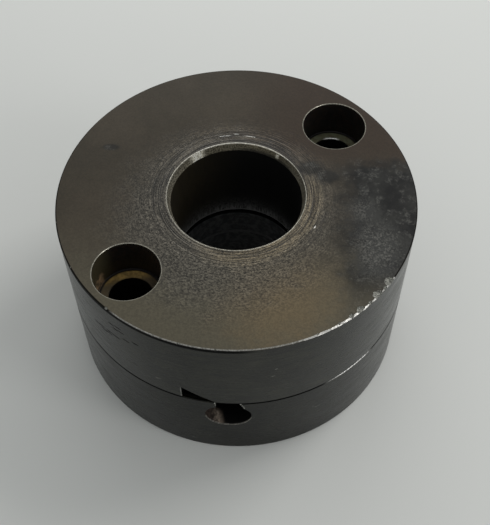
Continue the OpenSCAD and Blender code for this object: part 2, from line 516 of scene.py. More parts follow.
def stain_coat(here):
    """Black stain, smooth where it is thick, with two clouds of pale specks."""
    cloud = noise(here.point, 0.10, 4.0, 0.6)
    tatters = noise(here.point, 0.38, 4.0, 0.6)
    grain = noise(here.point, 1.7, 5.0, 0.75)
    wobble = compute("MULTIPLY_ADD", tatters, 16.0, -8.0)
    clusters = most(
        product(here.patch(SPECKLED_SPOTS[0], 8, 1, wobble), 0.8),
        here.patch(SPECKLED_SPOTS[1], 11, 2, wobble, stretch=0.7),
        product(ramp(tatters, 0.50, 0.64), 0.45),
    )
    specks = product(ramp(grain, 0.45, 0.60), ramp(tatters, 0.34, 0.58), clusters)
    colour = graded(cloud, 0.35, 0.65, (0.006, 0.006, 0.006), (0.020, 0.020, 0.018))
    colour = blend(product(clusters, 0.35), colour, (0.046, 0.046, 0.041))
    colour = blend(specks, colour, (0.118, 0.115, 0.102))
    metallic = blend(clusters, 0.5, 0.1)
    return coat(colour, blend(cloud, 0.38, 0.50), metallic, product(grain, 0.03))


def stained(here):
    """Where the black stain lies: the right of the face, two lobes by the bore and a spot at the left."""
    grime = noise(here.point, 0.12, 5.0, 0.65)
    wobble = compute("MULTIPLY_ADD", grime, 18.0, -9.0)
    rightward = ramp(compute("ADD", here.x, wobble), 27, 38)
    forward = ramp(compute("ADD", here.y, wobble), 19, 10)
    lobes = [here.patch(spot, 5.5, 2, wobble, 0.4, 1.4) for spot in STAIN_LOBES]
    spot = here.patch(STAIN_SPOT, 3.4, 1.6, wobble, 0.2, 1.9)
    thinner = graded(here.y, -38, -26, 0.35, 1.0)
    right_side = product(rightward, forward, thinner)
    by_bore = product(most(*lobes), 0.85)
    return most(right_side, by_bore, product(spot, 0.75))


def seat_coat(here, seat_r):
    """Inside the counterbores: black walls, a greenish ledge in one and a rusty one in the other."""
    floor_z = (TOP_Z - COUNTERBORE_H) / MM
    rusty = ramp(here.x, 1.0, -1.0)
    grime = noise(here.point, 0.7, 4.0, 0.65)
    patchy = ramp(grime, 0.35, 0.68)
    above_floor = ramp(here.z, floor_z - 0.5, floor_z - 0.1)

    # the walls: a little brown, olive on the left, and rust low on the left of the rusty one; the left
    # walls are lighter, which is painted light where light falls into the hole
    brown = product(ramp(grime, 0.45, 0.7), above_floor)
    wall = blend(brown, (0.004, 0.003, 0.003), (0.018, 0.009, 0.006))
    olive = product(ramp(here.x, -SEAT_AT - 5, -SEAT_AT - 9), above_floor)
    wall = blend(olive, wall, (0.040, 0.034, 0.018))
    low = ramp(here.z, floor_z + 6, floor_z + 3)
    left = ramp(here.x, -SEAT_AT - 8.2, -SEAT_AT - 9.2)
    wall = blend(product(low, left, patchy, above_floor), wall, (0.46, 0.30, 0.17))

    # the ledges, with a black ring round their outer edge
    depth = compute("MULTIPLY_ADD", here.x, -0.25, here.y)
    centre = -SEAT_AT * 0.75
    far_side = ramp(depth, centre + 4.5, centre + 8)
    rust = blend(far_side, (0.10, 0.082, 0.050), (0.50, 0.33, 0.10))
    rust = graded(here.x, -SEAT_AT + 3, -SEAT_AT + 8, rust, (0.05, 0.034, 0.015))
    ledge = blend(rusty, (0.18, 0.19, 0.12), rust)
    ledge = blend(product(patchy, 0.7), ledge, (0.11, 0.075, 0.036))
    corner = ramp(seat_r, COUNTERBORE_R / MM - 1.1, COUNTERBORE_R / MM - 0.5)
    ledge = blend(corner, ledge, (0.005, 0.004, 0.004))
    colour = blend(here.on_top, wall, ledge)
    return coat(colour, 0.5, 0.1, product(grime, 0.05))


def seat_radius(here):
    """Distance from the axis of the nearer cap screw hole."""
    along, across = along_and_across(here, SCREW_ANGLES[0])
    out = minus(size_of(along), PITCH_R / MM)
    return length(out, across)


def bore_coat(here):
    """The cover's bore: black with old oil, and grey just above the joint, partly streaks of dust and
    partly a painted sheen.
    """
    low = SPIGOT_Z / MM
    streaks = here.tool_marks(0.25, 30.0)
    grain = noise(here.point, 1.4, 3.0, 0.7)
    # just above the joint: grey streaks of dust, and a painted sheen on the lower part of the bore
    haze = product(ramp(here.z, low + 9, low), ramp(grain, 0.35, 0.65), 0.5)
    drips = product(ramp(here.z, low + 5, low + 0.5), ramp(streaks, 0.38, 0.6))
    edge = product(ramp(here.z, low + 0.9, low + 0.5), 0.9)
    brown = ramp(here.x, 4, -18)
    colour = blend(product(brown, streaks), (0.003, 0.003, 0.003), (0.030, 0.023, 0.011))
    colour = blend(most(haze, drips, edge), colour, (0.25, 0.25, 0.25))
    return coat(colour, 0.5, 0.25, product(grain, 0.02))


def bare_coat(here, tone, roughness=0.34, metallic=0.9, mottle=0.6):
    """Metal with the dark skin worn or knocked off it; mottle is how far its tone varies."""
    speck = noise(here.point, 2.4, 3.0, 0.65)
    strength = graded(speck, 0.36, 0.64, 1.0 - mottle, 1.0 + mottle)
    relief = product(speck, mottle / 15)
    return coat(tinted(tone, strength), roughness, metallic, relief)


# dirt packed into a joint or a recess, and painted shade; as a black metal it has almost no sheen
DARK_COAT = coat((0.004, 0.004, 0.004), 0.7, 1.0, 0.0)


def rim_wear(here, made):
    """The cover's rim: bright at the front, where it is knocked about and a painted highlight runs, and
    painted shade elsewhere and just below.
    """
    # the bright stretch at the front: knocked-about metal, with a painted highlight along it
    bright = product(band(here.angle, *RIM_BRIGHT, 3), 0.6)
    bright = most(band(here.angle, *RIM_BRIGHTEST, 3), bright)
    rim_line = here.near_edge(OUTER - 0.22, TOP - 0.08, 0.26)
    # painted shade: a dark line along the rest of the rim, and another just under the rim at the front
    # left
    painted_rim_shade = product(rim_line, inverse(bright), 0.85)
    painted_under_rim_shade = here.near_edge(OUTER, TOP - 0.8, 0.9)
    painted_under_rim_shade = product(painted_under_rim_shade, band(here.angle, *UNDER_RIM_SHADE, 10))
    made = over(most(painted_rim_shade, painted_under_rim_shade), made, DARK_COAT)
    metal = bare_coat(here, (0.46, 0.45, 0.42), mottle=0.4)
    return over(product(rim_line, bright), made, metal)


def lead_in_wear(here, made):
    """The lead-in cone, in painted shadow low on its far right, with two painted glints and a worn lip
    with a painted highlight at the back.
    """
    cone = band(here.z, TOP - LEAD_IN_H / MM, TOP - 0.05, 0.1)
    cone = product(cone, band(here.r, HOUSING_BORE_R / MM, LEAD_IN_R / MM + 0.05, 0.05))
    spark = band(here.z, TOP - 1.6, TOP - 0.7, 0.5)
    spark = product(band(here.angle, *LEAD_IN_SPARK, 2.2), spark)
    glints = most(band(here.angle, *LEAD_IN_GLINT, 11), spark)
    glints = product(glints, glints)
    off_centre = ramp(size_of(minus(here.angle, 90)), 35, 75)
    tone = blend(off_centre, (0.19, 0.172, 0.125), (0.42, 0.385, 0.30))
    tone = blend(glints, tone, (1.0, 0.96, 0.80))
    metal = bare_coat(here, tone, blend(glints, 0.34, 0.45))
    shadow = product(ramp(here.z, TOP - 1.1, TOP - 2.0), ramp(here.angle, 105, 80), 0.8)
    shadow = product(shadow, ramp(here.angle, 20, 45))
    cone = product(cone, inverse(shadow), blend(glints, 0.8, 1.0))
    made = over(cone, made, metal)

    lip = here.near_edge(LEAD_IN_R / MM, TOP, 0.34)
    # the lip is lighter towards the back: worn metal with a painted highlight
    tone = graded(here.y, 10, 18, (0.42, 0.40, 0.34), (0.85, 0.82, 0.73))
    metal = bare_coat(here, tone, 0.3, mottle=0.4)
    return over(product(lip, 0.85), made, metal)


def seat_wear(here, made, seat_r):
    """The counterbores' worn lips, and a painted highlight on the inner edge of the right-hand ledge."""
    lip = here.near_edge(COUNTERBORE_R / MM + 0.02, TOP - 0.05, 0.30, seat_r)
    metal = bare_coat(here, (0.40, 0.38, 0.32), 0.24, mottle=0.4)
    made = over(product(lip, 0.85), made, metal)

    # a painted highlight: bright metal on the far inner edge of the right-hand ledge
    edge = here.near_edge(SCREW_HOLE_R / MM + 0.1, TOP - COUNTERBORE_H / MM - 0.1, 0.55, seat_r)
    edge = product(edge, ramp(here.y, SEAT_AT + 4, SEAT_AT + 5))
    edge = product(edge, band(here.x, SEAT_AT - 1.6, SEAT_AT + 1.6, 1.5))
    return over(edge, made, bare_coat(here, (0.90, 0.90, 0.84)))


def notch_and_joint(here, made):
    """Painted shade in the cover's notch, dirt along the joint, and a painted highlight on the notch's
    upright edge.
    """
    notch_top = SEAM + NOTCH_H / MM
    # painted shade: the inside of the notch is black
    notch = product(
        ramp(here.r, OUTER - 0.15, OUTER - 0.5),
        ramp(here.r, SPIGOT_R / MM, SPIGOT_R / MM + 0.3),
        ramp(here.z, notch_top + 0.3, notch_top + 0.1),
    )
    joint = here.near_edge(OUTER, SEAM, 0.6)
    made = over(most(notch, joint), made, DARK_COAT)
    # a painted highlight on the notch's upright edge
    upright = product(
        band(here.angle, NOTCH_TURN - 0.35, NOTCH_TURN - 0.1, 0.12),
        ramp(here.r, OUTER - 0.3, OUTER - 0.1),
        band(here.z, SEAM + 0.8, notch_top - 0.6, 0.6),
        0.4,
    )
    return over(upright, made, bare_coat(here, (0.40, 0.39, 0.36)))


def cover_coat(here):
    wall = wall_coat(here, (0.009, 0.009, 0.006))
    made = over(here.on_top, wall, face_coat(here))
    made = over(product(here.on_top, stained(here)), made, stain_coat(here))
    seat_r = seat_radius(here)
    in_seat = ramp(seat_r, COUNTERBORE_R / MM + 0.05, COUNTERBORE_R / MM - 0.02)
    in_seat = product(in_seat, ramp(here.z, TOP - 0.1, TOP - 0.3))
    made = over(in_seat, made, seat_coat(here, seat_r))
    bore = ramp(here.r, LEAD_IN_R / MM - 0.1, HOUSING_BORE_R / MM + 0.1)
    made = over(bore, made, bore_coat(here))
    made = rim_wear(here, made)
    made = lead_in_wear(here, made)
    made = seat_wear(here, made, seat_r)
    return notch_and_joint(here, made)


def machined_coat(here, tone, oily, roughness, metallic):
    """Plain machined metal with a film of oil that lies unevenly."""
    marks = here.tool_marks(3.0, 3.0)
    oil = noise(here.point, 0.13, 4.0, 0.6)
    colour = graded(oil, 0.36, 0.66, tone, oily)
    colour = tinted(colour, graded(marks, 0.32, 0.68, 0.82, 1.14))
    dull = blend(oil, roughness - 0.08, roughness + 0.12)
    return coat(colour, dull, metallic, product(marks, 0.014))


def access_wear(here, made):
    """The access hole: rust with painted light at its left end, black with painted shade elsewhere, and
    worn bright along its lower lip, partly a painted highlight.
    """
    # painted shade: the inside of the hole is black, but for its left end
    inside = product(
        ramp(here.r, OUTER - 0.02, OUTER - 0.2),
        ramp(here.r, CHAMBER, CHAMBER + 0.2),
        ramp(here.y, -CHAMBER + 2, -CHAMBER),
        ramp(here.z, SEAM - 0.3, SEAM - 0.5),
    )
    grain = noise(here.point, 1.1, 3.0, 0.6)
    height = minus(here.z, ACCESS_Z / MM)
    reach = compute("MULTIPLY_ADD", minus(OUTER, here.r), 0.24, here.x)
    reach = compute("MULTIPLY_ADD", grain, 1.4, reach)
    brown = graded(reach, -4.5, -1.8, (0.055, 0.042, 0.035), (0.27, 0.22, 0.175))
    brown = tinted(brown, graded(grain, 0.35, 0.65, 0.45, 1.35))
    # rust at the left end, made lighter with painted light where light falls on the left wall
    rust_painted_lit = product(
        ramp(reach, 0.1, -2.3),
        ramp(height, 2.0, 0.5),
        ramp(here.r, OUTER - 5.5, OUTER - 3.5),
    )
    rust = blend(rust_painted_lit, (0.002, 0.002, 0.002), brown)
    made = over(inside, made, coat(rust, 0.45, 0.2, product(grain, 0.03)))

    side = minus(size_of(here.x), ACCESS_SIDE / MM)
    side = compute("MAXIMUM", side, 0.0)
    off = size_of(minus(length(side, height), ACCESS_R / MM))
    # the lower lip: worn metal, partly a painted highlight
    lip = product(
        ramp(off, 0.22, 0.10),
        ramp(height, -0.5, -2.5),
        ramp(here.r, OUTER - 0.5, OUTER - 0.2),
        ramp(here.y, 0, -CHAMBER),
        0.7,
    )
    return over(lip, made, bare_coat(here, (0.42, 0.40, 0.36)))


def body_coat(here):
    made = wall_coat(here, (0.006, 0.006, 0.004))
    shoulder = product(here.on_top, ramp(here.r, OUTER - 0.9, OUTER - 1.5))
    inner = most(ramp(here.r, CHAMBER + 0.1, CHAMBER + 0.05), shoulder)
    oiled = machined_coat(here, (0.085, 0.083, 0.078), (0.040, 0.038, 0.035), 0.36, 0.6)
    made = over(inner, made, oiled)
    made = access_wear(here, made)

    # dirt in the joint, and painted shade deep under the notch, but not on the edge that shows there
    shelf = band(here.angle, *NOTCH_SHELF, 2)
    joint = product(here.near_edge(OUTER, SEAM, 0.6), inverse(shelf))
    near_top = ramp(here.z, SEAM - 1, SEAM - 0.5)
    # painted shade on the top face deep under the notch, which light does not reach
    packed = product(shoulder, near_top, band(here.angle, *NOTCH_SHADE, 1))
    made = over(most(joint, packed), made, DARK_COAT)

    # a glint on the joint at the front right
    left_end, left_full, right_full, right_end = SEAM_GLINT
    glint = product(
        here.near_edge(OUTER - 0.1, SEAM - 0.12, 0.46),
        ramp(here.angle, left_end, left_full),
        ramp(here.angle, right_end, right_full),
    )
    return over(glint, made, bare_coat(here, (0.72, 0.71, 0.68)))


def hub_coat(here):
    """Machined steel with vane ends dark with grease and painted shade, painted shade on the bore's top
    edge, and black in the bore but for a faint ring at the groove.
    """
    made = machined_coat(here, (0.26, 0.25, 0.235), (0.12, 0.115, 0.11), 0.36, 0.85)
    spots = noise(here.point, 0.5, 4.0, 0.65)
    black = graded(spots, 0.42, 0.62, (0.022, 0.024, 0.027), (0.085, 0.085, 0.086))
    groove = band(here.z, (GROOVE_Z - GROOVE_W) / MM, (GROOVE_Z - GROOVE_W / 3) / MM, 0.2)
    black = blend(product(groove, 0.7), black, (0.10, 0.10, 0.10))
    oil = coat(black, 0.45, 0.0, product(spots, 0.03))
    in_bore = ramp(here.r, SHAFT_R / MM + 1.4, SHAFT_R / MM + 1.0)
    made = over(in_bore, made, oil)
    # painted shade on the top edge of the bore
    top_edge = ramp(here.z, HUB_TOP_Z / MM - 0.6, HUB_TOP_Z / MM - 0.3)
    top_edge = product(top_edge, ramp(here.r, SHAFT_R / MM + 2.4, SHAFT_R / MM + 1.6))
    # the vane ends, dark with grease and painted shade
    vane_ends = ramp(here.r, VANE_R / MM - 1.2, VANE_R / MM - 0.6)
    grease_and_shade = product(vane_ends, graded(spots, 0.4, 0.6, 0.85, 1.0))
    return over(most(top_edge, grease_and_shade), made, DARK_COAT)


def rubber_coat(here):
    dust = noise(here.point, 0.35, 4.0, 0.6)
    grain = noise(here.point, 5.0, 2.0, 0.6)
    colour = graded(dust, 0.45, 0.75, (0.016, 0.016, 0.017), (0.05, 0.048, 0.045))
    return coat(colour, blend(dust, 0.5, 0.75), 0.0, product(grain, 0.02))


MATERIALS = {
    "cover_steel": material_of("cover_steel", cover_coat, gloss=0.37),
    "body_steel": material_of("body_steel", body_coat, gloss=0.24),
    "hub_steel": material_of("hub_steel", hub_coat),
    "block_rubber": material_of("block_rubber", rubber_coat),
}
# machined metals: the tone where they are clean, where they are oily, then roughness and metallic
for slot, tones in {
    "dowel_steel": ((0.60, 0.59, 0.57), (0.42, 0.41, 0.39), 0.26, 1.0),
    "screw_steel": ((0.050, 0.050, 0.052), (0.025, 0.025, 0.026), 0.42, 0.7),
    "washer_bronze": ((0.55, 0.36, 0.16), (0.25, 0.15, 0.07), 0.36, 0.95),
}.items():
    MATERIALS[slot] = material_of(slot, machined_coat, *tones)
BARE_STEEL, DULL_STEEL, BRIGHT_STEEL = [
    material_of(name, bare_coat, *tones) for name, tones in {
        "bare_steel": ((0.17, 0.17, 0.15), 0.5, 0.5),
        "dull_steel": ((0.36, 0.36, 0.33), 0.4),
        "bright_steel": ((0.50, 0.49, 0.46), 0.34, 0.9, 0.25),
    }.items()
]
PACKED_DIRT = material_of("packed_dirt", lambda here: DARK_COAT)


def made_of(piece, slot):
    """Gives a mesh the material of a slot, before it is cut, so that the cut faces have it too."""
    piece.data.materials.append(MATERIALS[slot])
    return piece


# ---------------- wear as real geometry
def lump(dice, size, rough=0.14, material=None):
    """A rough lump; cut out of a surface it leaves a dent or a scratch."""
    bm = bmesh.new()
    bmesh.ops.create_icosphere(bm, subdivisions=3, radius=1.0)
    for vert in bm.verts:
        vert.co *= 1 + dice.uniform(-rough, rough)
        vert.co = Vector(a * b for a, b in zip(vert.co, size))
    made = piece_from("lump", bm)
    made.data.materials.append(material or BARE_STEEL)
    return made


def on_rim(piece, angle, inset, lean=0.0):
    """Moves a piece made at the origin to the corner of the cover's outer rim."""
    corner = Matrix.Translation((OUTER_R - inset, 0, TOP_Z - inset))
    return place(piece, spin(angle) @ corner @ Matrix.Rotation(math.radians(lean), 4, "X"))


def rim_dents(dice):
    """Dents in the cover's outer rim: angle in degrees, then length, reach and depth in mm."""
    dents = [
        (-33.8, 3.4, 2.2, 0.55), (-36.3, 1.6, 1.0, 0.45), (-39.8, 3.4, 2.0, 0.55), (-43.5, 1.6, 0.9, 0.45),
        (-47.4, 3.0, 1.8, 0.5), (-50.9, 1.8, 1.2, 0.45), (-55.4, 1.4, 0.9, 0.4), (-62.8, 1.2, 0.7, 0.35),
        (-92.9, 0.8, 0.6, 0.4), (-104.0, 0.7, 0.5, 0.35), (-128.5, 1.2, 0.7, 0.4),
    ]
    for _ in range(12):
        dents.append((dice.uniform(-180, 180), dice.uniform(0.5, 1.0), 0.42, dice.uniform(0.28, 0.36)))
    for angle, long, reach, depth in dents:
        size = (reach * MM, long / 2 * MM, depth * MM)
        yield on_rim(lump(dice, size), angle, -0.05 * MM, dice.uniform(-12, 12))


def worn_facet(dice, start, stop, narrow, wide):
    """A wedge swept along the rim, which leaves a facet of wandering width on its edge."""
    steps = round((stop - start) / 0.6)
    drift = 0.0
    sections = []
    for k in range(steps + 1):
        drift = 0.82 * drift + dice.uniform(-0.09, 0.09)
        swell = min(1.0, 3 * k / steps, 5 * (steps - k) / steps)
        depth = (narrow + (wide - narrow) * swell + drift * swell) * MM
        turn = spin(start + (stop - start) * k / steps)
        inner_r, outer_r = OUTER_R - depth - OVERCUT, OUTER_R + OVERCUT
        low_z, high_z = TOP_Z - depth - OVERCUT, TOP_Z + OVERCUT
        corners = [(inner_r, high_z), (outer_r, low_z), (outer_r, high_z)]
        sections.append([turn @ Vector((r, 0, z)) for r, z in corners])
    wedge = sweep("worn_facet", sections)
    wedge.data.materials.append(BRIGHT_STEEL)
    return wedge


def scratch(dice, angle, height, long, slope, depth, width=0.24, material=None):
    """A thin spindle that leaves a scratch on the outer wall; sizes in mm."""
    line = lump(dice, (depth * MM, long / 2 * MM, width / 2 * MM), 0.06, material)
    tilt = Matrix.Rotation(math.radians(slope), 4, "X")
    return place(line, spin(angle) @ Matrix.Translation((OUTER_R, 0, height * MM)) @ tilt)


def wall_scratches(dice, low, high):
    """Scratches all round a wall between two heights in mm."""
    for _ in range(12):
        angle, height = dice.uniform(-180, 180), dice.uniform(low, high)
        yield scratch(dice, angle, height, dice.uniform(0.8, 2.5), dice.uniform(-30, 30), 0.03)


def hatch_marks(dice):
    """Dirty strokes in the front left of the cover's wall: angle, then depth below the face in mm."""
    strokes = (
        (-135.1, 14.2), (-132.8, 13.5), (-132.0, 14.6), (-129.7, 14.0), (-129.0, 12.9), (-126.4, 12.9),
        (-127.5, 7.1), (-126.0, 8.4), (-124.9, 6.5), (-123.8, 8.1), (-122.1, 11.2), (-118.6, 9.8),
    )
    for angle, down in strokes:
        long = dice.uniform(2.4, 3.8)
        height = TOP_Z / MM - down
        yield scratch(dice, angle, height, long, dice.uniform(-4, 4), 0.16, 0.46, PACKED_DIRT)


def slot_burrs(dice):
    """Metal pushed up along the top of the slot's flanks; x and z in mm, then size."""
    for x, z, size in (
        (-3.95, 30.1, 0.32), (-3.8, 29.2, 0.20), (3.9, 30.1, 0.30),
        (4.35, 29.3, 0.26), (4.7, 28.4, 0.24), (4.95, 27.6, 0.18),
    ):
        angle = -90 + math.degrees(math.asin(x * MM / OUTER_R))
        burr = lump(dice, (0.14 * MM, size * MM, 0.3 * MM), 0.2, DULL_STEEL)
        yield place(burr, spin(angle) @ Matrix.Translation((OUTER_R - 0.06 * MM, 0, z * MM)))


def face_scratches(dice):
    """Short gouges in the face by the bore, along the tool marks: radius, angle and length."""
    for r, angle, long in ((24.6, 101, 4.6), (24.4, 83, 3.8), (25.1, 93, 1.6), (26.7, -25.8, 1.2)):
        gouge = lump(dice, (0.16 * MM, long / 2 * MM, 0.07 * MM), 0.1, BRIGHT_STEEL)
        yield place(gouge, spin(angle) @ Matrix.Translation((r * MM, 0, TOP_Z)))


# ---------------- the pieces
def tool_rings(dice, inner, outer):
    """Outline points of the shallow rings that a tool left on the face, from the outer radius in."""
    points = []
    r = outer
    while r > inner:
        depth = dice.uniform(0.02, 0.06) * min(1.0, (outer - r) / 3 + 0.1)
        points += [(r * MM, TOP_Z), ((r - 0.2) * MM, TOP_Z - depth * MM)]
        r -= dice.uniform(0.45, 0.85)
    return points


def wall_rows(low, high):
    """Outline points up the outer wall, close enough that a scratch only touches the faces round it."""
    rows = round((high - low) / (2 * MM))
    return [(OUTER_R, low + (high - low) * k / rows) for k in range(rows + 1)]


def screw_cutter(angle):
    """The whole hole for a cap screw through the cover, with its counterbore and broken edge."""
    seat_z = TOP_Z - COUNTERBORE_H
    edge = 0.2 * MM
    lip_r = COUNTERBORE_R + COUNTERBORE_CHAMFER
    outline = [
        (0, SPIGOT_Z - OVERCUT), (SCREW_HOLE_R, SPIGOT_Z - OVERCUT),
        (SCREW_HOLE_R, seat_z - edge), (SCREW_HOLE_R + edge, seat_z),
        (COUNTERBORE_R - edge, seat_z), (COUNTERBORE_R, seat_z + edge),
        (COUNTERBORE_R, TOP_Z - COUNTERBORE_CHAMFER), (lip_r, TOP_Z),
        (lip_r, TOP_Z + OVERCUT), (0, TOP_Z + OVERCUT),
    ]
    return at_pitch(lathe("screw_cutter", outline, HOLE_ROUND), angle)


def post(name, radius, low, high, around=HOLE_ROUND):
    return lathe(name, [(0, low), (radius, low), (radius, high), (0, high)], around)


def notch_cutter():
    foot = NOTCH_L * (1 + OVERCUT / NOTCH_H)
    outline = [(0, -OVERCUT), (0, NOTCH_H), (foot, -OVERCUT)]
    wedge = extrude("notch_cutter", outline, OUTER_R - NOTCH_DEPTH, OUTER_R + OVERCUT)
    # the outline's x becomes the run along the rim, its y the height, and the extrusion the radius
    stand = Matrix(((0, 0, 1, 0), (1, 0, 0, 0), (0, 1, 0, SEAM_Z), (0, 0, 0, 1)))
    return place(wedge, spin(NOTCH_ANGLE) @ stand)


def cover_half():
    dice = random.Random(11)
    outline = [
        (HOUSING_BORE_R, SPIGOT_Z), (SPIGOT_R, SPIGOT_Z), (SPIGOT_R, SEAM_Z),
        (OUTER_R - SEAM_CHAMFER, SEAM_Z),
        *wall_rows(SEAM_Z + SEAM_CHAMFER, TOP_Z - RIM_BREAK),
        (OUTER_R - RIM_BREAK, TOP_Z),
        *tool_rings(dice, LEAD_IN_R / MM + 0.5, 28.5),
        (LEAD_IN_R, TOP_Z), (HOUSING_BORE_R, TOP_Z - LEAD_IN_H),
    ]
    cover = made_of(lathe("cover_half_steel", outline), "cover_steel")
    cut(cover, *[screw_cutter(a) for a in SCREW_ANGLES])
    blind_top = SEAM_Z + DOWEL_DEPTH + OVERCUT
    for angle in DOWEL_ANGLES:
        hole = post("dowel_cutter", DOWEL_R + SLIDING_GAP, SPIGOT_Z - OVERCUT, blind_top)
        cut(cover, at_pitch(hole, angle))
    cut(cover, notch_cutter())
    soften(cover, 0.08 * MM)
    cut(cover, worn_facet(dice, *RIM_WORN, RIM_BREAK / MM, 0.42))
    cut(cover, *rim_dents(dice), *face_scratches(dice))
    cut(cover, *wall_scratches(dice, SEAM_Z / MM + 2, TOP_Z / MM - 2), *hatch_marks(dice))
    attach(cover, "cover")
    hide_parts("cover_half")
    shade(cover, 5)


def access_cutters():
    """The rounded hole through the rim, and the slot with one leaning flank above it."""
    right = [(x + ACCESS_SIDE, y) for x, y in arc(ACCESS_R, -90, 90, 24)]
    left = [(x - ACCESS_SIDE, y) for x, y in arc(ACCESS_R, 90, 270, 24)]
    near_y, far_y = CHAMBER_R - 2 * MM, OUTER_R + OVERCUT
    # the outline's x stays x, its y becomes the height, and the extrusion runs out along -Y
    stand = Matrix(((1, 0, 0, 0), (0, 0, -1, 0), (0, 1, 0, ACCESS_Z), (0, 0, 0, 1)))
    hole = place(extrude("access_cutter", right + left, near_y, far_y), stand)
    rise = SEAM_Z - ACCESS_Z
    outline = [
        (-SLOT_W / 2, 0), (SLOT_W / 2 + SLOT_LEAN, 0), (SLOT_W / 2, rise),
        (SLOT_W / 2, rise + OVERCUT), (-SLOT_W / 2, rise + OVERCUT),
    ]
    slot = place(extrude("slot_cutter", outline, near_y, far_y), stand)
    return hole, slot


def housing_jaw(angle):
    half = JAW_ANGLE / 2
    outline = arc(CHAMBER_R + OVERCUT, -half, half, 12) + arc(JAW_TIP_R, half, -half, 12)
    jaw = made_of(extrude("jaw", outline, FLOOR_Z - OVERCUT, JAW_TOP_Z), "body_steel")
    return place(jaw, spin(angle))


def jaw_body():
    dice = random.Random(23)
    outline = [
        (HOUSING_BORE_R + FOOT_CHAMFER, 0), (OUTER_R - FOOT_CHAMFER, 0),
        *wall_rows(FOOT_CHAMFER, SEAM_Z - SEAM_CHAMFER),
        (OUTER_R - SEAM_CHAMFER, SEAM_Z), (CHAMBER_R, SEAM_Z),
        (CHAMBER_R, FLOOR_Z), (HOUSING_BORE_R, FLOOR_Z), (HOUSING_BORE_R, FOOT_CHAMFER),
    ]
    body = made_of(lathe("jaw_body_steel", outline), "body_steel")
    for quarter in range(4):
        combine(body, housing_jaw(45 + 90 * quarter), "UNION")
    for angle in SCREW_ANGLES:
        cut(body, at_pitch(post("hole", SCREW_HOLE_R, -OVERCUT, SEAM_Z + OVERCUT), angle))
    for angle in DOWEL_ANGLES:
        cut(body, at_pitch(post("hole", DOWEL_R, SEAM_Z - DOWEL_DEPTH, SEAM_Z + OVERCUT), angle))
    cut(body, *access_cutters())
    soften(body, 0.12 * MM)
    cut(body, *wall_scratches(dice, 2, SEAM_Z / MM - 2))
    for burr in slot_burrs(dice):
        combine(body, burr, "UNION")
    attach(body, "housing")
    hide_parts("jaw_body")
    shade(body)


def laid_along_screw(piece, y):
    """Lays a piece that was made up +Z along the set screw's line, running out from y towards -Y."""
    return place(piece, Matrix.Translation((0, y, SCREW_Z)) @ Matrix.Rotation(math.radians(90), 4, "X"))


def jaw_hub():
    edge = 0.5 * MM
    bore = SHAFT_R
    outline = [
        (bore + edge, HUB_BOTTOM_Z), (HUB_R, HUB_BOTTOM_Z), (HUB_R, HUB_TOP_Z),
        (bore + edge, HUB_TOP_Z), (bore, HUB_TOP_Z - edge),
        (bore, GROOVE_Z + GROOVE_W / 2), (bore + GROOVE_DEPTH, GROOVE_Z + GROOVE_W / 2),
        (bore + GROOVE_DEPTH, GROOVE_Z - GROOVE_W / 2), (bore, GROOVE_Z - GROOVE_W / 2),
        (bore, HUB_BOTTOM_Z + edge),
    ]
    hub = made_of(lathe("jaw_hub_steel", outline), "hub_steel")
    reach = math.degrees(math.asin(VANE_W / 2 / VANE_R))
    root = HUB_R - 2 * MM
    vane_outline = [(root, -VANE_W / 2), *arc(VANE_R, -reach, reach, 12), (root, VANE_W / 2)]
    for quarter in range(4):
        vane = made_of(extrude("vane", vane_outline, HUB_BOTTOM_Z, HUB_TOP_Z), "hub_steel")
        combine(hub, place(vane, spin(90 * quarter)), "UNION")
    keyway = [(-KEY_W / 2, -KEY_R), (KEY_W / 2, -KEY_R), (KEY_W / 2, -bore / 2), (-KEY_W / 2, -bore / 2)]
    cut(hub, extrude("keyway_cutter", keyway, HUB_BOTTOM_Z - OVERCUT, HUB_TOP_Z + OVERCUT))
    wall, mouth = SCREW_R + SLIDING_GAP, 0.9 * MM
    tapped = [
        (0, KEY_R - OVERCUT), (wall, KEY_R - OVERCUT), (wall, VANE_R - mouth),
        (wall + mouth, VANE_R), (wall + mouth, VANE_R + OVERCUT), (0, VANE_R + OVERCUT),
    ]
    cut(hub, laid_along_screw(lathe("tapped_cutter", tapped, HOLE_ROUND), 0))
    soften(hub, 0.25 * MM, 3)
    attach(hub, "hub")
    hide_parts("jaw_hub")
    shade(hub)


def rubber_block(index, vane, side):
    """One moulded block; side is 1 ahead of a vane and -1 behind it."""
    r_in, r_out = HUB_R + 4 * BLOCK_GAP, CHAMBER_R - 2 * BLOCK_GAP
    jaw_flank = (90 - JAW_ANGLE) / 2

    def by_vane(r):
        return FREE_TWIST + math.degrees(math.asin((VANE_W / 2 + BLOCK_GAP) / r))

    def by_jaw(r):
        return jaw_flank - math.degrees(math.asin(BLOCK_GAP / r))

    outline = arc(r_out, by_vane(r_out), by_jaw(r_out), 14) + arc(r_in, by_jaw(r_in), by_vane(r_in), 8)
    low, high = FLOOR_Z + BLOCK_GAP, SPIGOT_Z - 2 * BLOCK_GAP
    block = extrude(f"rubber_block_{index}_moulded", [(x, side * y) for x, y in outline], low, high)
    made_of(block, "block_rubber")
    middle_r = 38 * MM
    middle = (by_vane(middle_r) + by_jaw(middle_r)) / 2 * side
    dimple_r, dimple_h = 1.6 * MM, 0.6 * MM
    outline = [(0, high - dimple_h), (dimple_r, high), (dimple_r, high + OVERCUT), (0, high + OVERCUT)]
    cut(block, at_pitch(lathe("dimple", outline, 32), middle, middle_r + 1 * MM))
    soften(block, 0.7 * MM, 4)
    place(block, spin(90 * vane))
    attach(block, "housing")
    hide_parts(f"rubber_block_{index}")
    shade(block, 40)


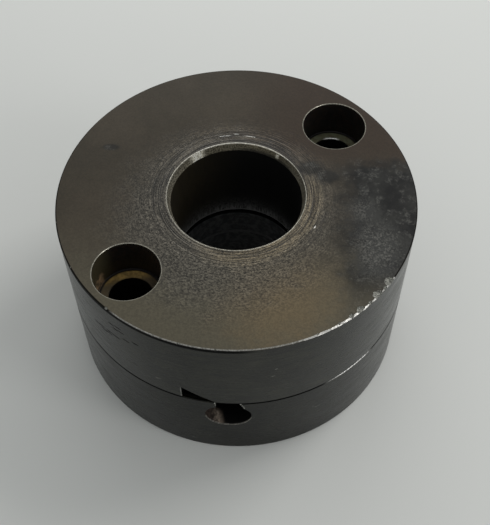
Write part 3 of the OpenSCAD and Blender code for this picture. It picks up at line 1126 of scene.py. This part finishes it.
def dowel_pin(index, angle):
    low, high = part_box(f"dowel_pin_{index}")
    r, edge = DOWEL_R, 0.8 * MM
    crown = 0.25 * MM
    outline = [
        (0, low.z), (r - edge, low.z), (r - 0.25 * edge, low.z + 0.35 * edge), (r, low.z + edge),
        (r, high.z - edge), (r - 0.25 * edge, high.z - 0.35 * edge), (r - edge, high.z - 0.1 * crown),
        (0.5 * r, high.z), (0, high.z),
    ]
    pin = made_of(lathe(f"dowel_pin_{index}_ground", outline, HOLE_ROUND), "dowel_steel")
    at_pitch(pin, angle)
    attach(pin, "housing")
    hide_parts(f"dowel_pin_{index}")
    shade(pin, 50)


def thrust_washer(which, body):
    low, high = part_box(f"{which}_thrust_washer")
    edge = 0.15 * MM
    outline = [
        (WASHER_BORE_R + edge, low.z), (WASHER_R - edge, low.z), (WASHER_R, low.z + edge),
        (WASHER_R, high.z - edge), (WASHER_R - edge, high.z), (WASHER_BORE_R + edge, high.z),
        (WASHER_BORE_R, high.z - edge), (WASHER_BORE_R, low.z + edge),
    ]
    washer = made_of(lathe(f"{which}_thrust_washer_bronze", outline), "washer_bronze")
    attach(washer, body)
    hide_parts(f"{which}_thrust_washer")
    shade(washer, 50)


def set_screw():
    """A headless screw with a real helical thread, a cone point and a hexagon socket."""
    pitch, thread_depth = 1.25 * MM, 0.62 * MM
    point_h, end_h = 1.6 * MM, 0.7 * MM
    around, rows_per_turn = 48, 10
    rows = round(SCREW_LENGTH / pitch * rows_per_turn)
    sections = []
    for row in range(rows + 1):
        z = SCREW_LENGTH * row / rows
        point = max(0.0, point_h - z) * 0.95
        end = max(0.0, z - SCREW_LENGTH + end_h)
        section = []
        for k in range(around):
            turn = 2 * math.pi * k / around
            phase = (z / pitch - k / around) % 1.0
            root = thread_depth * max(0.0, min(1.0, 1.35 - 2.7 * abs(phase - 0.5)))
            r = min(SCREW_R - root, SCREW_R - point - end)
            section.append((r * math.cos(turn), r * math.sin(turn), z))
        sections.append(section)
    screw = made_of(sweep("set_screw_threaded", sections), "screw_steel")
    socket_r = 2 * MM / math.cos(math.radians(30))
    floor_z = SCREW_LENGTH - 4.8 * MM
    cut(screw, post("socket_cutter", socket_r, floor_z, SCREW_LENGTH + OVERCUT, 6))
    laid_along_screw(screw, SCREW_HEAD_Y + SCREW_LENGTH)
    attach(screw, "screw")
    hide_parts("set_screw")
    shade(screw, 35)


# ---------------- camera, floor and light
def make_camera():
    """Looks down on the face from the front, where the access hole is."""
    azimuth, elevation = math.radians(4.0), math.radians(50.15)
    distance = 278 * MM
    level = math.cos(elevation)
    away = Vector((math.sin(azimuth) * level, -math.cos(azimuth) * level, math.sin(elevation)))
    pan, tilt, roll = math.radians(-0.46), math.radians(-4.31), math.radians(1.13)
    camera = bpy.data.objects.new("camera", bpy.data.cameras.new("camera"))
    bpy.context.scene.collection.objects.link(camera)
    camera.data.lens = 62.3
    camera.data.sensor_width = 36
    camera.data.clip_start = 0.01
    camera.location = Vector((0, 0, TOP_Z)) + away * distance
    camera.rotation_mode = "QUATERNION"
    camera.rotation_quaternion = (
        (-away).to_track_quat("-Z", "Y")
        @ Quaternion((0, 1, 0), pan) @ Quaternion((1, 0, 0), tilt) @ Quaternion((0, 0, 1), -roll)
    )
    bpy.context.scene.camera = camera


def make_floor():
    bm = bmesh.new()
    bmesh.ops.create_grid(bm, x_segments=1, y_segments=1, size=20.0)
    floor = piece_from("floor", bm)
    paper = bpy.data.materials.new("pale_floor")
    paper.use_nodes = True
    shader = paper.node_tree.nodes["Principled BSDF"]
    shader.inputs["Base Color"].default_value = (0.62, 0.63, 0.61, 1.0)
    shader.inputs["Roughness"].default_value = 0.6
    floor.data.materials.append(paper)


def area_light(name, spot, target, size, power, tint):
    data = bpy.data.lights.new(name, "AREA")
    data.shape = "RECTANGLE"
    data.size, data.size_y = size
    data.energy = power
    data.color = tint
    light = bpy.data.objects.new(name, data)
    bpy.context.scene.collection.objects.link(light)
    light.location = spot
    light.rotation_mode = "QUATERNION"
    light.rotation_quaternion = (Vector(target) - Vector(spot)).to_track_quat("-Z", "Y")


def make_light():
    """A pale room, a lamp high behind on the right, one low behind and a window at the front right."""
    world = bpy.data.worlds.new("studio")
    bpy.context.scene.world = world
    world.use_nodes = True
    background = world.node_tree.nodes["Background"]
    background.inputs["Color"].default_value = (0.86, 0.88, 0.88, 1.0)
    background.inputs["Strength"].default_value = 0.58
    centre = (0, 0, TOP_Z / 2)
    area_light("lamp", (0.68, 0.48, 0.85), centre, (0.5, 0.5), 4.6, (1.0, 0.99, 0.97))
    area_light("wall_lamp", (-0.1, 0.72, 0.30), (-0.1, 0.40, 0), (0.7, 0.15), 1.5, (1.0, 1.0, 0.99))
    area_light("window", (0.83, -0.38, 0.55), centre, (0.3, 0.4), 1.6, (1.0, 1.0, 1.0))


# ---------------- the scene
make_camera()
make_floor()
make_light()
bpy.context.scene.view_settings.view_transform = "Standard"

cover_half()
jaw_body()
jaw_hub()
BLOCK_SIDES = ((0, 1), (1, -1), (1, 1), (2, -1), (2, 1), (3, -1), (3, 1), (0, -1))
for number, (vane, side) in enumerate(BLOCK_SIDES, start=1):
    rubber_block(number, vane, side)
for number, angle in enumerate(DOWEL_ANGLES, start=1):
    dowel_pin(number, angle)
thrust_washer("top", "hub")
thrust_washer("bottom", "housing")
set_screw()
